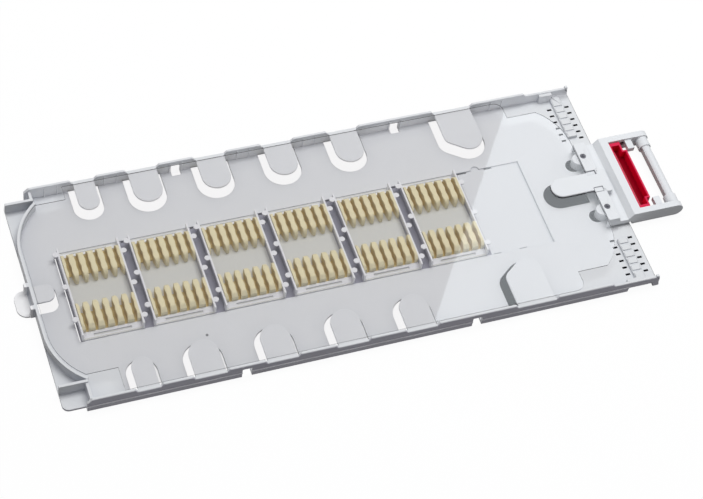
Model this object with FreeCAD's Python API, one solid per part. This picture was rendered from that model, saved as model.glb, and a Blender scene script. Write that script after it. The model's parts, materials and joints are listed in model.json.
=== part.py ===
import FreeCAD, Part
import math
import os

# Fibre splice tray with a hinge bracket at one end, a red latch slide in the bracket, six splice
# holders that snap into a shallow well, two rib combs in each holder, and a clear cover on top.
#
# Working frame: X runs along the tray from its closed end to its hinge end, Y across it, Z up.
# While the solids are made, X = 0 is the outer face of the closed end, Y = 0 the centre line and
# Z = 0 the top of the floor. The last lines move everything to the part's own frame, whose origin
# is under the middle of the whole part, on the surface that it stands on.

V = FreeCAD.Vector

# Tray floor and side walls
hinge_end_length = 47.7
tray_width = 157.0
floor_thick = 1.8
wall_thick = 1.8
rim_height = 7.1
crest_height = 9.3
crest_slope = 2.0
wall_start = 13.5
wall_start_slant = 3.0
crest_end_inset = 33.0
wall_lean = 1.2
ledge_height = 2.4
ledge_depth = 0.5
ledge_thick = 0.7
wall_foot = 6.1
finger_relief = 0.4
skirt_cut_inset = 21.0
skirt_cut_length = 17.0
skirt_cut_height = 3.9
skirt_cut_depth = 2.5
end_fin_length = 1.8
end_fin_height = 1.1
end_cove_radius = 4.6
wall_block_inset = 21.8
wall_block_length = 8.8
wall_block_depth = 2.2
wall_block_height = 6.4
rim_chamfer = 0.5
rib_pair_gap = 8.0
rib_thick = 0.8
rib_depth = 0.6
rib_top = 7.9
window_width = 6.0
window_height = 6.0
window_reach = 3.6

# Holder well in the floor
well_depth = 0.8
well_gap = 1.4
well_side_gap = 0.6
slit_width = 0.8
slit_length = 5.2
channel_slit_lead = 3.6
slit_spacing = 17.4
lug_notch_radius = 2.6
ridge_width = 0.9
ridge_height = 0.5

# Splice holders
holder_count = 6
holder_places = 7
holder_pitch = 44.0
holder_start = 22.3
holder_gap = 5.8
holder_length = 64.0
holder_floor = 1.0
rail_thick = 1.2
rail_height = 5.8
apron_length = 4.6
apron_height = 1.5
apron_edge = 0.5
apron_flat = 1.0
apron_slot_length = 23.0
apron_slot_width = 1.1
tab_radius = 1.95
tab_sides = 8
tab_thick = 1.0
tab_reach = 3.1
tab_spacing = 24.0
left_tab_shift = 4.0
right_tab_shift = -2.3

# Rib combs
comb_slots = 6
comb_clearance = 0.15
comb_floor = 0.8
comb_head_gap = 0.4
comb_length = 19.6
comb_rib_width = 3.5
comb_lobe = 0.35
comb_flank_steps = 4
comb_tip_width = 1.6
comb_tip_length = 3.0
comb_end_slope = 2.2

# Fingers that hold the fibre down along the side walls
finger_width = 18.4
finger_reach = 24.0
finger_thick = 1.4
finger_offset = 2.4
finger_gap = 2.9
end_finger_shift = 9.1
end_finger_width = 13.2
end_finger_reach = 21.4
broad_finger_shift = 10.6
broad_finger_width = 24.6
broad_finger_reach = 32.0
broad_shoulder_drop = 6.2
broad_shoulder_radius = 6.0
broad_tip_radius = 9.2

# Closed end: curved wall, corner walls, thumb finger and grip
end_wall_mid = 3.0
end_wall_radius = 45.4
corner_wall_inset = 10.7
corner_wall_gap = 2.2
corner_wall_end = 17.5
corner_wall_height = 8.1
flange_inset = 2.5
flange_corner = 4.0
thumb_finger_mid = 1.8
thumb_finger_width = 12.2
thumb_finger_reach = 13.8
thumb_corner = 5.0
thumb_gap_side = 3.4
thumb_gap_tip = 1.8
post_width = 3.0
post_depth = 2.6
post_gap = 0.6
grip_reach = 9.6
grip_width = 19.0
grip_mid = 2.0
grip_corner = 6.5
grip_thick = 1.2

# Cable-tie slots and saddles at the hinge end
tie_slot_rows = 6
tie_slot_wall_gap = 9.3
tie_slot_pitch = 5.24
tie_slot_length = 3.0
tie_slot_width = 1.3
tie_column_inset = 16.5
tie_column_gap = 12.35
saddle_width = 6.6
saddle_height = 2.2
saddle_groove = 1.6
saddle_groove_depth = 0.7

# Bosses that carry the hinge bracket
boss_y = 20.6
boss_radius = 4.4
boss_shift = 2.4
boss_web = 2.0
boss_hole_radius = 4.7
boss_hole_shift = 3.1
tongue_slot_side = 2.5
tongue_slot_lead = 3.2
tongue_slot_inset = 2.4

# Hinge bracket
strip_inset = 16.1
strip_length = 7.5
strip_slope = 1.2
strip_thick = 2.4
strip_top = 8.7
plate_top = 4.7
plate_thick = 1.6
plate_half = 31.2
plate_skirt_bottom = 1.4
riser_run = 3.2
frame_gap = 1.5
frame_top = 9.1
frame_depth = 10.0
arm_thick = 4.3
cross_bar_width = 5.5
rod_distance = 24.4
rod_radius = 3.4
rod_flat = 2.7
collar_radius = 4.2
collar_length = 7.0
stop_length = 4.6
stop_reach = 7.0
stop_top = 7.8
stop_height = 3.6
tongue_length = 27.3
tongue_width = 14.0
tongue_thick = 1.15
tongue_lift = 0.15
tee_lap = 0.6
tee_overhang = 2.6
tee_length = 4.8
tee_corner = 1.6
neck_width = 9.8
neck_lead = 0.3
tongue_slit = 3.6
tongue_slit_length = 6.0
screw_inset = 2.9
screw_head_gap = 0.15
screw_bore_depth = 1.5
screw_head_radius = 1.75
screw_head_height = 1.0
screw_shank_radius = 1.1
screw_hole_clearance = 0.15
screw_pilot_clearance = 0.05
screw_length = 6.5
screw_drive_reach = 1.1
screw_drive_width = 0.5
screw_drive_depth = 0.6

# Latch slide
latch_travel = 3.7
latch_stop_gap = 0.1
latch_gap = 0.3
latch_width = 10.2
latch_wall = 1.2
latch_end_wall = 2.5
latch_floor = 1.2
latch_bottom = 0.4
latch_top = 7.7
latch_notch_depth = 2.5
latch_ear = 1.5
latch_ear_height = 2.4
latch_ear_z = 3.2

# Clear cover
cover_thick = 0.7
cover_edge_gap = 1.2
cover_end_gap = 0.6
cover_notch_end = 36.6
cover_relief_inset = 33.7
cover_relief_radius = 6.0
cover_ear_inset = 13.9
cover_ear_wall_gap = 14.3
cover_arc_lead = 1.8
cover_arc_swell = 3.6
cover_plate_gap = 0.4

# Values worked out from the sizes above
tiny = 0.01
beyond = 1.0
tray_length = holder_start + holder_places * holder_pitch + hinge_end_length
inner_half = tray_width / 2 - wall_thick
floor_bottom = -floor_thick
crest_end = tray_length - crest_end_inset
skirt_cut_start = tray_length - skirt_cut_inset
wall_block_start = tray_length - wall_block_inset
holder_width = holder_pitch - holder_gap
holder_mid = holder_start + holder_width / 2
well_x0 = holder_start - well_gap
well_x1 = holder_start + (holder_places - 1) * holder_pitch + holder_width + well_side_gap
well_half = holder_length / 2 + well_side_gap
comb_height = rim_height - comb_head_gap
comb_outer = holder_length / 2 - apron_length - comb_clearance
comb_inner = comb_outer - comb_length
comb_pitch = (holder_width - 2 * rail_thick - 2 * comb_clearance) / comb_slots
end_finger_x = holder_mid + end_finger_shift
broad_finger_x = holder_mid + holder_count * holder_pitch - broad_finger_shift
end_wall_turn = math.acos((end_wall_radius - corner_wall_end) / end_wall_radius)
corner_wall_half = tray_width / 2 - corner_wall_inset
end_wall_half = corner_wall_half - corner_wall_gap - end_wall_radius * math.sin(end_wall_turn)
flange_half = tray_width / 2 - flange_inset
tie_slot_first = inner_half - tie_slot_wall_gap - (tie_slot_rows - 1) * tie_slot_pitch
tie_column_x = tray_length - tie_column_inset
saddle_start = tie_column_x + (tie_column_gap - saddle_width) / 2
strip_start = tray_length - strip_inset
strip_end = strip_start + strip_length
screw_x = strip_start + screw_inset
screw_bore_radius = screw_head_radius + screw_head_gap
screw_seat = strip_top - screw_bore_depth
boss_x = screw_x - boss_shift
frame_start = tray_length + frame_gap
riser_start = frame_start - riser_run
frame_middle = frame_top - frame_depth / 2
arm_end_radius = frame_depth / 2
window_start = frame_start + cross_bar_width
window_half = plate_half - arm_thick
rod_centre_x = window_start + rod_distance
tongue_tip = strip_start - tongue_length
tongue_bottom = rim_height + cover_thick + tongue_lift
tongue_top = tongue_bottom + tongue_thick
tongue_slot_tip = tongue_tip - tongue_slot_lead
tongue_slot_end = strip_start - tongue_slot_inset
tongue_slot_half = tongue_width / 2 + tongue_slot_side
tee_start = strip_end - tee_lap
tee_width = tongue_width + 2 * tee_overhang
latch_front = window_start + latch_gap + latch_width
latch_shoulder = latch_front - latch_notch_depth
latch_wide_half = window_half - stop_reach - latch_gap
stop_start = latch_shoulder + latch_travel + latch_stop_gap
cover_relief_x = strip_start - cover_relief_inset
cover_ear_end = strip_start - cover_ear_inset
cover_ear_half = inner_half - cover_ear_wall_gap
cover_arc_half = plate_half + cover_arc_lead


def box(x0, x1, y0, y1, z0, z1):
    """Upright block between two corners."""
    return Part.makeBox(x1 - x0, y1 - y0, z1 - z0, V(x0, y0, z0))


def prism(edges, z0, z1):
    """Closed outline of edges, drawn at Z = 0, raised from z0 to z1."""
    face = Part.Face(Part.Wire(Part.__sortEdges__(edges)))
    solid = face.extrude(V(0, 0, z1 - z0))
    solid.translate(V(0, 0, z0))
    return solid


def polygon(points, z0, z1):
    """Straight-sided outline raised from z0 to z1."""
    corners = [V(x, y, 0) for x, y in points]
    face = Part.Face(Part.makePolygon(corners + corners[:1]))
    solid = face.extrude(V(0, 0, z1 - z0))
    solid.translate(V(0, 0, z0))
    return solid


def side_profile(points, y0, y1):
    """Outline of (x, z) points carried across from y0 to y1."""
    corners = [V(x, y0, z) for x, z in points]
    return Part.Face(Part.makePolygon(corners + corners[:1])).extrude(V(0, y1 - y0, 0))


def cross_profile(points, x0, x1):
    """Outline of (y, z) points carried along from x0 to x1."""
    corners = [V(x0, y, z) for y, z in points]
    return Part.Face(Part.makePolygon(corners + corners[:1])).extrude(V(x1 - x0, 0, 0))


def line(a, b):
    return Part.makeLine(V(a[0], a[1], 0), V(b[0], b[1], 0))


def arc(a, middle, b):
    return Part.Arc(V(a[0], a[1], 0), V(middle[0], middle[1], 0), V(b[0], b[1], 0)).toShape()


def disc(x, y, radius, z0, z1):
    return Part.makeCylinder(radius, z1 - z0, V(x, y, z0))


def span_box(x0, x1, ya, yb, z0, z1):
    """Block between two values of Y given in either order."""
    return box(x0, x1, min(ya, yb), max(ya, yb), z0, z1)


def rounded_block(x0, x1, y0, y1, radius, z0, z1):
    """Block whose four upright edges are rounded."""
    block = box(x0, x1, y0, y1, z0, z1)
    upright = [e for e in block.Edges if abs(e.tangentAt(e.FirstParameter).z) > 0.9]
    return block.makeFillet(radius, upright)


def fused(first, *others):
    """One solid from pieces that meet, with the seams between them cleaned away."""
    return first.fuse(list(others)).removeSplitter()


def finger(x_mid, width, reach, side, grow, z0, z1):
    """Round-ended finger that grows inward from a side wall; grow widens it into its clearance slot."""
    half = width / 2 + grow
    root = inner_half + wall_thick / 2
    tip = inner_half - reach - grow
    left = [(x_mid - half, side * root), (x_mid - half, side * (tip + half))]
    right = [(x_mid + half, side * (tip + half)), (x_mid + half, side * root)]
    edges = [line(left[0], left[1])]
    edges.append(arc(left[1], (x_mid, side * tip), right[0]))
    edges.append(line(right[0], right[1]))
    edges.append(line(right[1], left[0]))
    return prism(edges, z0, z1)


def broad_finger(side, grow, z0, z1):
    """Broad finger with a long tip on its hinge side and a cut-back shoulder on the other."""
    x0 = broad_finger_x - broad_finger_width / 2 - grow
    x1 = broad_finger_x + broad_finger_width / 2 + grow
    root = inner_half + wall_thick / 2
    tip = inner_half - broad_finger_reach - grow
    tip_radius = broad_tip_radius + grow
    shoulder_radius = broad_shoulder_radius + grow
    tip_centre = V(x1 - tip_radius, tip + tip_radius, 0)
    shoulder_y = tip + tip_radius - broad_tip_radius + broad_shoulder_drop + broad_shoulder_radius
    shoulder_centre = V(x0 + shoulder_radius, shoulder_y, 0)
    between = tip_centre - shoulder_centre
    slope = math.atan2(between.y, between.x)
    swing = math.acos((shoulder_radius - tip_radius) / between.Length)
    tangent = slope - swing

    def on(centre, radius, angle):
        return (centre.x + radius * math.cos(angle), side * (centre.y + radius * math.sin(angle)))

    half_turn = math.pi
    a0 = on(shoulder_centre, shoulder_radius, half_turn)
    a1 = on(shoulder_centre, shoulder_radius, (half_turn + tangent + 2 * half_turn) / 2)
    a2 = on(shoulder_centre, shoulder_radius, tangent)
    b0 = on(tip_centre, tip_radius, tangent)
    b1 = on(tip_centre, tip_radius, tangent / 2)
    b2 = on(tip_centre, tip_radius, 0)
    edges = [line((x0, side * root), a0), arc(a0, a1, a2), line(a2, b0), arc(b0, b1, b2)]
    edges.append(line(b2, (x1, side * root)))
    edges.append(line((x1, side * root), (x0, side * root)))
    return prism(edges, z0, z1)


def plain_fingers():
    """Middle and width and reach of each round-ended finger along one wall."""
    fingers = [(end_finger_x, end_finger_width, end_finger_reach)]
    for place in range(1, 5):
        fingers.append((holder_mid + place * holder_pitch + finger_offset, finger_width, finger_reach))
    return fingers


def finger_spans():
    """Start and end along X of every finger on one wall, in order."""
    spans = [(x - w / 2, x + w / 2) for x, w, reach in plain_fingers()]
    spans.append((broad_finger_x - broad_finger_width / 2, broad_finger_x + broad_finger_width / 2))
    return spans


def wall_top():
    """Top line of a side wall as (x, z): low beside each finger, with sloped crests between."""
    points = [(wall_start, wall_foot), (wall_start + wall_start_slant, crest_height)]
    for x0, x1 in finger_spans():
        points.append((x0 - crest_slope, crest_height))
        points.append((x0 - finger_relief, rim_height))
        points.append((x1 + finger_relief, rim_height))
        points.append((x1 + crest_slope, crest_height))
    points.append((crest_end, crest_height))
    points.append((crest_end + crest_slope, rim_height))
    points.append((tray_length - wall_lean, rim_height))
    return points


def crest_middles():
    """Middle of each gap between neighbouring fingers, and of the stretch before the first one."""
    spans = finger_spans()
    middles = [(wall_start + wall_start_slant + spans[0][0]) / 2]
    for before, after in zip(spans, spans[1:]):
        middles.append((before[1] + after[0]) / 2)
    middles.append((spans[-1][1] + crest_end) / 2)
    return middles


def side_wall(side):
    """Side wall with its crests, inner rib pairs, outer ledge and clip windows."""
    outer = tray_width / 2
    top = wall_top()
    outline = [(wall_start, floor_bottom)] + top + [(tray_length, floor_bottom)]
    wall = side_profile(outline, side * inner_half, side * outer)
    upper = [e for e in wall.Edges if e.BoundBox.ZMin > rim_height - tiny]
    upper = [e for e in upper if abs(abs(e.CenterOfMass.y) - outer) < tiny]
    wall = wall.makeChamfer(rim_chamfer, upper)
    ledge_end = skirt_cut_start
    mid_wall = side * (inner_half + wall_thick / 2)
    pieces = [span_box(wall_start, ledge_end, mid_wall, side * (outer + ledge_depth),
                       ledge_height, ledge_height + ledge_thick)]
    for middle in crest_middles():
        for step in (-rib_pair_gap / 2, rib_pair_gap / 2):
            x = middle + step
            pieces.append(span_box(x - rib_thick / 2, x + rib_thick / 2, mid_wall,
                                   side * (inner_half - rib_depth), floor_bottom / 2, rib_top))
    fin_end = tray_length - wall_lean
    pieces.append(span_box(fin_end - end_fin_length, fin_end, side * inner_half, side * outer,
                           rim_height - rim_chamfer, rim_height + end_fin_height))
    pieces.append(span_box(wall_block_start, wall_block_start + wall_block_length, mid_wall,
                           side * (inner_half - wall_block_depth), floor_bottom / 2, wall_block_height))
    return fused(wall, *pieces)


def end_cove(side):
    """Hollow-curved corner between the floor and the side wall at the hinge end."""
    start = saddle_start + beyond
    end = tray_length - wall_lean
    block = span_box(start, end, side * (inner_half - end_cove_radius), side * (inner_half + wall_thick / 2),
                     floor_bottom / 2, end_cove_radius)
    centre = V(start - beyond, side * (inner_half - end_cove_radius), end_cove_radius)
    return block.cut(Part.makeCylinder(end_cove_radius, end - start + 2 * beyond, centre, V(1, 0, 0)))


def skirt_cut(side):
    """Slanted cut that takes away the wall's lower outside edge near the hinge end."""
    outer = tray_width / 2
    slope = skirt_cut_depth / skirt_cut_height
    top = floor_bottom + skirt_cut_height
    points = [(side * outer, top), (side * (outer + beyond), top + beyond / slope)]
    points.append((side * (outer + beyond), floor_bottom - beyond))
    points.append((side * (outer - skirt_cut_depth - slope), floor_bottom - beyond))
    return cross_profile(points, skirt_cut_start, skirt_cut_start + skirt_cut_length)


def window_middles():
    """Places of the clip windows: after the second and after the fifth finger."""
    middles = crest_middles()
    return (middles[2], middles[5])


def clip_window(x, side):
    """Window low in the side wall, which also bites into the floor beside it."""
    half = window_width / 2
    return span_box(x - half, x + half, side * (inner_half - window_reach), side * (tray_width / 2 + beyond),
                    floor_bottom - beyond, window_height)


def end_wall_path(shift):
    """Plan of the curved end wall, moved inward by shift: a straight run with an arc at each end."""
    radius = end_wall_radius - shift
    half = end_wall_half
    turn = end_wall_turn
    ends = []
    arcs = []
    for side in (1, -1):
        centre = V(end_wall_radius, end_wall_mid + side * half, 0)
        start = (shift, end_wall_mid + side * half)
        middle = (centre.x - radius * math.cos(turn / 2), centre.y + side * radius * math.sin(turn / 2))
        end = (centre.x - radius * math.cos(turn), centre.y + side * radius * math.sin(turn))
        arcs.append(arc(start, middle, end))
        ends.append(end)
    straight = line((shift, end_wall_mid + half), (shift, end_wall_mid - half))
    return [straight] + arcs, ends


def end_wall():
    """Curved wall round the closed end, as high as the rim."""
    outer_edges, outer_ends = end_wall_path(0)
    inner_edges, inner_ends = end_wall_path(wall_thick)
    closing = [line(outer_ends[0], inner_ends[0]), line(outer_ends[1], inner_ends[1])]
    return prism(outer_edges + inner_edges + closing, floor_bottom, rim_height)


def closed_end():
    """Corner walls and the short walls that lead from them out to the side walls."""
    pieces = []
    for side in (1, -1):
        y = end_wall_mid + side * corner_wall_half
        inside = y - side * wall_thick
        pieces.append(span_box(0, corner_wall_end, inside, y, floor_bottom, corner_wall_height))
        pieces.append(span_box(corner_wall_end - wall_thick, corner_wall_end, inside,
                               side * tray_width / 2, floor_bottom, rim_height))
    return pieces


def floor_plate():
    """Floor with the rounded flange at the closed end and the grip that sticks out of it."""
    plate = box(wall_start, tray_length, -tray_width / 2, tray_width / 2, floor_bottom, 0)
    flange = rounded_block(0, 3 * corner_wall_end, -flange_half, flange_half, flange_corner, floor_bottom, 0)
    grip_top = floor_bottom + grip_thick
    x1 = 2 * grip_corner
    y0 = grip_mid - grip_width / 2
    grip = rounded_block(-grip_reach, x1, y0, y0 + grip_width, grip_corner, floor_bottom, grip_top)
    return fused(plate, flange, grip)


def thumb_finger(grow, z0, z1):
    """Round-cornered finger in the gap of the curved end wall."""
    reach = thumb_finger_reach + grow * thumb_gap_tip
    half = thumb_finger_width / 2 + grow * thumb_gap_side
    corner = thumb_corner + grow
    tip = rounded_block(-2 * corner, reach, thumb_finger_mid - half, thumb_finger_mid + half, corner, z0, z1)
    return tip.common(box(wall_thick, 2 * reach, -tray_width, tray_width, z0, z1))


def end_posts():
    """Two upright posts outside the end wall, one each side of the thumb finger."""
    posts = []
    for side in (1, -1):
        y = thumb_finger_mid + side * (thumb_finger_width / 2 + post_gap)
        posts.append(span_box(-post_depth, wall_thick, y, y + side * post_width, floor_bottom, rim_height))
    return posts


def well():
    """Shallow well that the holders snap into, with slits between them and the spare place's slits and notch."""
    cuts = [box(well_x0, well_x1, -well_half, well_half, -well_depth, beyond)]
    for place in range(1, holder_places):
        x = holder_start + place * holder_pitch - channel_slit_lead
        cuts.append(box(x, x + slit_length, well_half - slit_width, well_half, floor_bottom - beyond, beyond))
    spare = holder_mid + (holder_places - 1) * holder_pitch - holder_width / 4
    for side in (1, -1):
        for step in (-slit_spacing / 2, slit_spacing / 2):
            x = spare + step
            cuts.append(span_box(x - slit_length / 2, x + slit_length / 2, side * (well_half - slit_width),
                                 side * well_half, floor_bottom - beyond, beyond))
    cuts.append(disc(spare, well_half, lug_notch_radius, -well_depth, beyond))
    return cuts


def edge_slit():
    """Long slit between the first holder and the closed end."""
    half = well_half - slit_width
    return box(well_x0, well_x0 + slit_width, -half, half, floor_bottom - beyond, beyond)


def tie_slots():
    """Two columns of cable-tie slots on each side of the bracket."""
    cuts = []
    for side in (1, -1):
        for row in range(tie_slot_rows):
            y = side * (tie_slot_first + row * tie_slot_pitch)
            for x in (tie_column_x, tie_column_x + tie_column_gap):
                cuts.append(box(x - tie_slot_length / 2, x + tie_slot_length / 2,
                                y - tie_slot_width / 2, y + tie_slot_width / 2, floor_bottom - beyond, beyond))
    return cuts


def saddle(side):
    """Raised saddle between the two slot columns, grooved where each tie lies."""
    start = side * (tie_slot_first + saddle_groove / 2)
    bar = span_box(saddle_start, saddle_start + saddle_width, start, side * inner_half,
                   floor_bottom / 2, saddle_height)
    top = [e for e in bar.Edges if e.BoundBox.ZMin > saddle_height - tiny and e.BoundBox.XLength < tiny]
    bar = bar.makeChamfer(saddle_groove_depth, top)
    grooves = []
    for row in range(1, tie_slot_rows):
        y = side * (tie_slot_first + row * tie_slot_pitch)
        grooves.append(box(saddle_start - beyond, saddle_start + saddle_width + beyond, y - saddle_groove / 2,
                           y + saddle_groove / 2, saddle_height - saddle_groove_depth, saddle_height + beyond))
    return bar.cut(grooves)


def boss(side):
    """Round boss that carries the bracket's strip, with the screw's pilot hole and a web behind it."""
    top = strip_top - strip_thick
    y = side * boss_y
    post = disc(boss_x, y, boss_radius, floor_bottom, top)
    web = box(boss_x, boss_x + 2 * boss_radius, y - boss_web / 2, y + boss_web / 2,
              floor_bottom / 2, plate_top - 2 * plate_thick)
    pilot = disc(screw_x, y, screw_shank_radius + screw_pilot_clearance, screw_seat - screw_length, top + beyond)
    return fused(post, web).cut(pilot)


def tongue_slot():
    """Round-ended slot in the floor under the bracket's tongue."""
    half = tongue_slot_half
    start = tongue_slot_tip + half
    edges = [line((tongue_slot_end, half), (start, half)), arc((start, half), (tongue_slot_tip, 0), (start, -half))]
    edges.append(line((start, -half), (tongue_slot_end, -half)))
    edges.append(line((tongue_slot_end, -half), (tongue_slot_end, half)))
    return prism(edges, floor_bottom - beyond, beyond)


def make_tray_base():
    solid = fused(floor_plate(), end_wall(), *closed_end())
    solid = fused(solid, side_wall(1), side_wall(-1), end_cove(1), end_cove(-1))
    cuts = well() + [edge_slit()] + tie_slots()
    for side in (1, -1):
        for x, width, reach in plain_fingers():
            cuts.append(finger(x, width, reach, side, finger_gap, floor_bottom - beyond, beyond))
        cuts.append(broad_finger(side, finger_gap, floor_bottom - beyond, beyond))
        for x in window_middles():
            cuts.append(clip_window(x, side))
        cuts.append(disc(boss_x - boss_hole_shift, side * boss_y, boss_hole_radius, floor_bottom - beyond, beyond))
        cuts.append(skirt_cut(side))
    cuts.append(thumb_finger(1, floor_bottom - beyond, beyond))
    cuts.append(tongue_slot())
    solid = solid.cut(cuts)
    pieces = [thumb_finger(0, rim_height - finger_thick, rim_height)] + end_posts()
    for side in (1, -1):
        for x, width, reach in plain_fingers():
            pieces.append(finger(x, width, reach, side, 0, rim_height - finger_thick, rim_height))
        pieces.append(broad_finger(side, 0, rim_height - finger_thick, rim_height))
        pieces.append(saddle(side))
        pieces.append(boss(side))
    ridge = box(well_x1, well_x1 + ridge_width, -well_half, well_half, -well_depth, ridge_height)
    pieces.append(ridge)
    return fused(solid, *pieces)


def rail_tab(x, y):
    """Many-sided tab level with a rail's top, over the channel between two holders."""
    corners = []
    for side in range(tab_sides):
        turn = 2 * math.pi * (side + 0.5) / tab_sides
        corners.append((x + tab_radius * math.cos(turn), y + tab_radius * math.sin(turn)))
    return polygon(corners, rail_height - tab_thick, rail_height)


def make_holder(place):
    """Open frame with two rails, a thin floor and a sloped apron at each end."""
    x0 = holder_start + place * holder_pitch
    x1 = x0 + holder_width
    half = holder_length / 2
    low = -well_depth
    floor_top = low + holder_floor
    pieces = [box(x0, x1, -half, half, low, floor_top)]
    for x in (x0, x1 - rail_thick):
        pieces.append(box(x, x + rail_thick, -half, half, low, rail_height))
    for side in (1, -1):
        root = half - apron_length
        profile = [(side * root, low), (side * root, apron_height), (side * (root + apron_flat), apron_height)]
        profile.append((side * half, low + apron_edge))
        profile.append((side * half, low))
        pieces.append(cross_profile(profile, x0 + rail_thick / 2, x1 - rail_thick / 2))
    for step in (-tab_spacing, 0, tab_spacing):
        pieces.append(rail_tab(x1 + tab_reach - tab_radius, step + right_tab_shift))
        pieces.append(rail_tab(x0 - tab_reach + tab_radius, step + left_tab_shift))
    solid = fused(*pieces)
    middle = (x0 + x1) / 2
    inner = box(x0 + rail_thick, x1 - rail_thick, -half + apron_length, half - apron_length,
                floor_top, rail_height + beyond)
    cuts = [inner]
    for side in (1, -1):
        y = side * (half - apron_length / 2)
        cuts.append(box(middle - apron_slot_length / 2, middle + apron_slot_length / 2,
                        y - apron_slot_width / 2, y + apron_slot_width / 2, floor_top, apron_height + beyond))
    return solid.cut(cuts).removeSplitter()


def rib_outline(x, left, right):
    """Plan of one comb rib: lobed flanks, a blunt outer end and a narrow inner tip."""
    span = comb_outer - comb_inner - comb_tip_length
    flank = []
    for step in range(comb_flank_steps + 1):
        lobe = comb_lobe if step % 2 else 0
        flank.append((comb_outer - span * step / comb_flank_steps, comb_rib_width / 2 - lobe))
    flank.append((comb_inner, comb_tip_width / 2))
    right_side = [(x + (half if right else 0), y) for y, half in flank]
    left_side = [(x - (half if left else 0), y) for y, half in flank]
    return right_side + left_side[::-1]


def make_comb(place, side):
    """Comb of ribs on a thin strip; each gap between two ribs grips the splices laid in it."""
    x0 = holder_start + place * holder_pitch + rail_thick + comb_clearance
    x1 = x0 + comb_slots * comb_pitch
    low = holder_floor - well_depth
    y0, y1 = sorted((side * comb_inner, side * comb_outer))
    pieces = [box(x0, x1, y0, y1, low, low + comb_floor)]
    for rib in range(comb_slots + 1):
        outline = rib_outline(x0 + rib * comb_pitch, rib > 0, rib < comb_slots)
        pieces.append(polygon([(x, side * y) for x, y in outline], low, comb_height))
    slope = [(side * (comb_outer - comb_end_slope), comb_height), (side * comb_outer, comb_height - comb_end_slope)]
    slope.append((side * (comb_outer + beyond), comb_height - comb_end_slope - beyond))
    slope.append((side * (comb_outer + beyond), comb_height + beyond))
    slope.append((side * (comb_outer - comb_end_slope - beyond), comb_height + beyond))
    return fused(*pieces).cut(cross_profile(slope, x0 - beyond, x1 + beyond))


def bracket_plate():
    """Plate that reaches from the raised screw strip down over the tray's end and up to the frame."""
    strip_bottom = strip_top - strip_thick
    plate_bottom = plate_top - plate_thick
    profile = [(strip_start, strip_bottom), (strip_start, strip_top), (strip_end, strip_top)]
    profile.append((strip_end + strip_slope, plate_top))
    profile.append((riser_start, plate_top))
    profile.append((frame_start, frame_top))
    profile.append((frame_start, plate_bottom))
    profile.append((strip_end, plate_bottom))
    profile.append((strip_end - strip_slope, strip_bottom))
    plate = side_profile(profile, -plate_half, plate_half)
    rim = [(strip_start, plate_skirt_bottom), (strip_start, strip_top), (strip_end, strip_top)]
    rim.append((strip_end + strip_slope, plate_top))
    rim.append((riser_start, plate_top))
    rim.append((frame_start, frame_top))
    rim.append((frame_start, plate_skirt_bottom))
    skirts = []
    for side in (1, -1):
        y0, y1 = sorted((side * plate_half, side * (plate_half - plate_thick)))
        skirts.append(side_profile(rim, y0, y1))
    return fused(plate, *skirts)


def bracket_frame():
    """Frame that carries the rod: cross bar and two arms with round ends."""
    frame_bottom = frame_top - frame_depth
    pieces = [box(frame_start, window_start, -plate_half, plate_half, frame_bottom, frame_top)]
    for side in (1, -1):
        y0, y1 = sorted((side * plate_half, side * window_half))
        pieces.append(box(frame_start, rod_centre_x, y0, y1, frame_bottom, frame_top))
        pieces.append(Part.makeCylinder(arm_end_radius, y1 - y0, V(rod_centre_x, y0, frame_middle), V(0, 1, 0)))
    return fused(*pieces)


def hinge_rod():
    """Rod between the arms, flat on the side of the latch, with a round collar at each end."""
    def bar(radius, y0, y1):
        return Part.makeCylinder(radius, y1 - y0, V(rod_centre_x, y0, frame_middle), V(0, 1, 0))

    inset = window_half + arm_thick / 2
    collar_start = window_half - collar_length
    rod = bar(rod_radius, -inset, inset)
    flat = box(rod_centre_x - 2 * rod_radius, rod_centre_x - rod_flat, -inset, inset,
               frame_middle - rod_radius, frame_middle + rod_radius)
    return fused(rod.cut(flat), bar(collar_radius, collar_start, inset), bar(collar_radius, -inset, -collar_start))


def stop_blocks():
    """Two blocks on the arms that end the latch's travel."""
    blocks = []
    for side in (1, -1):
        blocks.append(span_box(stop_start, stop_start + stop_length, side * (window_half - stop_reach),
                               side * (window_half + arm_thick / 2), stop_top - stop_height, stop_top))
    return blocks


def tongue():
    """Springy tongue over the cover's edge, with its T-shaped root on the plate."""
    half = tongue_width / 2
    root = tee_start + tee_corner
    edges = [line((tongue_tip + half, half), (root, half))]
    edges.append(line((root, half), (root, -half)))
    edges.append(line((root, -half), (tongue_tip + half, -half)))
    edges.append(arc((tongue_tip + half, -half), (tongue_tip, 0), (tongue_tip + half, half)))
    blade = prism(edges, tongue_bottom, tongue_top)
    tee = rounded_block(tee_start, tee_start + tee_length, -tee_width / 2, tee_width / 2, tee_corner,
                        plate_top - plate_thick / 2, tongue_top)
    return fused(blade, tee)


def latch_grooves():
    """Grooves in the arms that the latch's ears run in."""
    cuts = []
    end = latch_shoulder + latch_travel + latch_gap
    for side in (1, -1):
        cuts.append(span_box(window_start, end, side * (window_half - beyond), side * (window_half + latch_ear),
                             latch_ear_z - latch_gap, latch_ear_z + latch_ear_height + latch_gap))
    return cuts


def make_bracket():
    solid = fused(bracket_plate(), bracket_frame(), hinge_rod(), *stop_blocks())
    solid = fused(solid, tongue())
    cuts = latch_grooves()
    for side in (1, -1):
        y = side * boss_y
        cuts.append(disc(screw_x, y, screw_bore_radius, screw_seat, strip_top + beyond))
        cuts.append(disc(screw_x, y, screw_shank_radius + screw_hole_clearance,
                         strip_top - strip_thick - beyond, screw_seat + beyond))
        inside = side * neck_width / 2
        cuts.append(span_box(strip_start - neck_lead, strip_start + tongue_slit_length, inside,
                             inside + side * tongue_slit, strip_top - strip_thick - beyond, tongue_top + beyond))
    return solid.cut(cuts).removeSplitter()


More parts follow.
